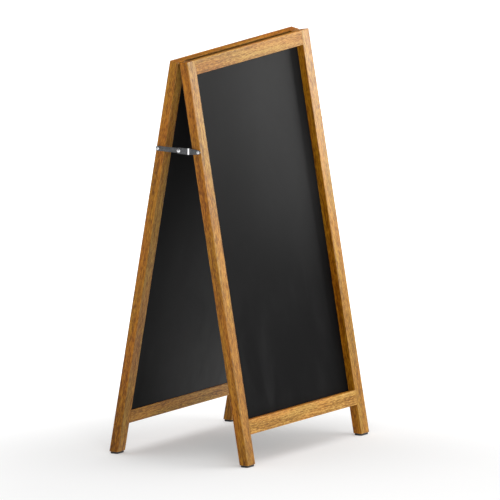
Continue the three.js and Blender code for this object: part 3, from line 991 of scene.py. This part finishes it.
def stay(name):
    sign = -1 if name == "left" else 1
    stile_lo, stile_hi = box_of(points(f"front_stile_{name}"))
    face = stile_lo[0] if sign < 0 else stile_hi[0]
    centre = {}
    for node in ("rear_screw", "front_screw", "rivet_head"):
        lo, hi = box_of(points(f"stay_{name}_{node}"))
        centre[node] = ((lo[1] + hi[1]) / 2, (lo[2] + hi[2]) / 2)
    rear_y, z = centre["rear_screw"]
    front_y = centre["front_screw"][0]
    rivet_y = centre["rivet_head"][0]
    # axes of the stay: x out from the stile, y to the back, z up from the pivots
    place = Matrix.Translation((face, 0, z)) @ Matrix.Diagonal((sign, 1, 1, 1))
    layer_1, thick = 1.2 * MM, 1.8 * MM
    layer_2 = layer_1 + thick + 0.4 * MM

    def finish(part_name, bm, material, body, nodes, seed, along="Y", soft=38):
        if sign < 0:
            bmesh.ops.reverse_faces(bm, faces=bm.faces)
        moved(bm, place)
        return piece(part_name, bm, material, body, nodes, None, seed, soft, along)

    # rear arm
    lo, hi = box_of(points(f"stay_{name}_rear_arm"))
    w = (hi[2] - lo[2]) / 2
    stations = [(y, h) for y, h in round_end(rear_y, w, 1)] + [
        (y, h) for y, h in reversed(round_end(rivet_y, w, -1))
    ]
    arm = bar(stations, lambda y: layer_1, lambda y: layer_1 + thick)
    rim_only(arm, 0.45 * MM, 3)
    arm = boolean(
        arm,
        merged(
            rod(2.3 * MM, (-MM, rear_y, 0), (8 * MM, rear_y, 0)),
            rod(2.8 * MM, (-MM, rivet_y, 0), (8 * MM, rivet_y, 0)),
        ),
    )
    made = finish(f"stay_{name}_steel_rear_arm", arm, STAY_STEEL, f"stay_{name}_rear", [f"stay_{name}_rear_arm"], 61)
    # the rear arm keeps no marked faces: no painted highlight
    mark_painted_highlight(made, 1, 0)

    # front arm: wide over the rivet, pressed in to the stile, tapering to its screw
    lo, hi = box_of(points(f"stay_{name}_front_arm"))
    wide = (hi[2] - lo[2]) / 2
    p = points(f"stay_{name}_front_arm")
    narrow = 11.5 * MM / 2
    step = rivet_y - 29.4 * MM
    inner = step + 2.6 * MM
    stations = round_end(rivet_y, wide, 1)
    stations += [(rivet_y - (rivet_y - inner) * i / 6, wide) for i in range(1, 6)]
    stations += [(inner - i * 0.55 * MM, wide) for i in range(0, 9)]
    taper_from = inner - 8 * 0.55 * MM

    def half_width(y):
        t = (taper_from - y) / (taper_from - front_y)
        t = max(0.0, min(1.0, t))
        return wide + (narrow - wide) * t

    stations += [(taper_from + (front_y - taper_from) * i / 8, half_width(taper_from + (front_y - taper_from) * i / 8)) for i in range(1, 9)]
    stations += list(reversed(round_end(front_y, narrow, -1)))[1:]
    stations.sort(key=lambda s: -s[0])

    def press(y):
        t = (inner - y) / (4.2 * MM)
        t = max(0.0, min(1.0, t))
        t = t * t * (3 - 2 * t)
        return layer_2 + (layer_1 - layer_2) * t

    arm = bar(stations, press, lambda y: press(y) + thick)
    rim_only(arm, 0.45 * MM, 3)
    arm = boolean(
        arm,
        merged(
            rod(2.8 * MM, (-MM, rivet_y, 0), (9 * MM, rivet_y, 0)),
            rod(2.3 * MM, (-MM, front_y, 0), (9 * MM, front_y, 0)),
        ),
    )
    made = finish(
        f"stay_{name}_steel_front_arm", arm, STAY_STEEL, f"stay_{name}_front", [f"stay_{name}_front_arm"], 67
    )
    # a painted highlight on the front arm's pressed step
    mark_painted_highlight(made, inner - 3.9 * MM, inner - 0.3 * MM)

    def out_from(bm, y):
        """A solid turned about +Z, laid with +Z out from the stile, at a pivot."""
        return moved(bm, Matrix.Translation((0, y, 0)) @ Matrix.Rotation(math.pi / 2, 4, "Y"))

    shear = layer_2 - 0.2 * MM
    top = layer_2 + thick + 0.1 * MM
    head = lathe(
        [
            (0, shear + 0.1 * MM),
            (2.6 * MM, shear + 0.1 * MM),
            (2.6 * MM, top),
            (4.9 * MM, top),
            (5.2 * MM, top + 0.25 * MM),
            (5.12 * MM, top + 0.7 * MM),
            (4.75 * MM, top + 1.15 * MM),
            (4.1 * MM, top + 1.58 * MM),
            (3.2 * MM, top + 1.9 * MM),
            (2.1 * MM, top + 2.1 * MM),
            (1.0 * MM, top + 2.18 * MM),
            (0, top + 2.2 * MM),
        ]
    )
    finish(
        f"stay_{name}_zinc_rivet_head",
        out_from(head, rivet_y),
        ZINC,
        f"stay_{name}_front",
        [f"stay_{name}_rivet_head"],
        71,
        "X",
        45,
    )
    tail = lathe(
        [
            (0, 0.4 * MM),
            (3.9 * MM, 0.42 * MM),
            (4.45 * MM, 0.6 * MM),
            (4.6 * MM, 0.8 * MM),
            (4.5 * MM, 1.05 * MM),
            (4.2 * MM, 1.1 * MM),
            (2.6 * MM, 1.1 * MM),
            (2.6 * MM, shear - 0.1 * MM),
            (0, shear - 0.1 * MM),
        ]
    )
    finish(
        f"stay_{name}_zinc_rivet_tail",
        out_from(tail, rivet_y),
        ZINC,
        f"stay_{name}_rear",
        [f"stay_{name}_rivet_tail"],
        73,
        "X",
        45,
    )

    for where, y, body in (("rear", rear_y, "back_frame"), ("front", front_y, "front_frame")):
        washer = ring(2.3 * MM, 5.5 * MM, 0.2 * MM, 1.0 * MM, 0.15 * MM)
        finish(
            f"stay_{name}_zinc_{where}_washer",
            out_from(washer, y),
            ZINC,
            body,
            [f"stay_{name}_{where}_washer"],
            77,
            "X",
            45,
        )
        under = layer_1 + thick + 0.2 * MM
        screw = lathe(
            [(0, -18.5 * MM)]
            + thread(-15 * MM, -1 * MM, 1.95 * MM, 2 * MM)
            + [
                (1.85 * MM, -0.6 * MM),
                (1.95 * MM, under),
                (4.25 * MM, under),
                (4.4 * MM, under + 0.15 * MM),
                (4.4 * MM, under + 0.75 * MM),
                (4.2 * MM, under + 1.3 * MM),
                (3.7 * MM, under + 1.85 * MM),
                (2.9 * MM, under + 2.25 * MM),
                (1.8 * MM, under + 2.45 * MM),
                (0, under + 2.5 * MM),
            ]
        )
        screw = boolean(screw, cross_recess(under + 2.5 * MM, 2.3 * MM, 1.5 * MM, 0.95 * MM))
        moved(screw, Matrix.Rotation(0.5 if where == "rear" else 1.1, 4, "Z"))
        finish(
            f"stay_{name}_zinc_{where}_screw",
            out_from(screw, y),
            ZINC,
            body,
            [f"stay_{name}_{where}_screw"],
            79,
            "X",
            45,
        )


for name in ("left", "right"):
    stay(name)


# ---- floor and light -------------------------------------------------------------------------
floor_mesh = bpy.data.meshes.new("floor")
bm = bmesh.new()
bmesh.ops.create_circle(bm, cap_ends=True, segments=96, radius=24)
bm.to_mesh(floor_mesh)
bm.free()
floor = bpy.data.objects.new("floor", floor_mesh)
COLLECTION.objects.link(floor)
floor.location = (0, 0, -0.0002)
g = Graph("floor")
spot = g.node("ShaderNodeNewGeometry").outputs["Position"]
tone = g.noise(spot, scale=1.2, detail=2)
g.put(g.shader.inputs["Base Color"], g.mix(tone, (0.65, 0.65, 0.65), (0.67, 0.67, 0.67)))
g.shader.inputs["Roughness"].default_value = 0.9
g.shader.inputs["Specular IOR Level"].default_value = 0.0
g.shader.inputs["Emission Color"].default_value = (1, 1, 1, 1)
# the floor glows more with distance from (-0.56, -0.52): painted light that lifts its shadows and fades it to white
# further out
away = g.vector("LENGTH", g.vector("SUBTRACT", spot, (-0.56, -0.52, 0)))
g.put(g.shader.inputs["Emission Strength"], g.span(away, 0.6, 2.1, 0.26, 0.82))
floor_mesh.materials.append(g.material)


def softbox(name, at, towards, width, height, power, colour=(1, 1, 1), spread=180):
    data = bpy.data.lights.new(name, "AREA")
    data.shape = "RECTANGLE"
    data.size, data.size_y = width, height
    data.energy = power
    data.color = colour
    data.spread = math.radians(spread)
    light = bpy.data.objects.new(name, data)
    COLLECTION.objects.link(light)
    light.location = at
    light.rotation_mode = "QUATERNION"
    light.rotation_quaternion = (Vector(towards) - Vector(at)).to_track_quat("-Z", "Y")
    return light


softbox("key", (1.45, -3.7, 0.95), (0, 0, 0.4), 3.2, 1.5, 84, (1, 0.99, 0.97))
side = softbox("side", (2.55, -0.92, 1.2), (0, 0, 0.75), 0.9, 1.2, 44, (1, 0.99, 0.97))
unlit = bpy.data.collections.new("unlit_by_side")  # the side light skips the floor
unlit.objects.link(floor)
side.light_linking.receiver_collection = unlit
unlit.collection_objects[0].light_linking.link_state = "EXCLUDE"
softbox("fill", (-3.4, -2.6, 1.9), (0, 0, 0.5), 2.0, 2.0, 66)
sun_data = bpy.data.lights.new("overhead", "SUN")
sun_data.energy = 2.1
sun_data.angle = math.radians(70)
overhead = bpy.data.objects.new("overhead", sun_data)
COLLECTION.objects.link(overhead)

world = bpy.data.worlds.new("world")
bpy.context.scene.world = world
world.use_nodes = True
world.node_tree.nodes["Background"].inputs["Color"].default_value = (1, 1, 1, 1)
world.node_tree.nodes["Background"].inputs["Strength"].default_value = 0.12

bpy.context.scene.view_settings.view_transform = "Standard"
bpy.context.scene.view_settings.look = "None"
bpy.context.scene.view_settings.exposure = 0
bpy.context.scene.view_settings.gamma = 1

bpy.context.view_layer.update()
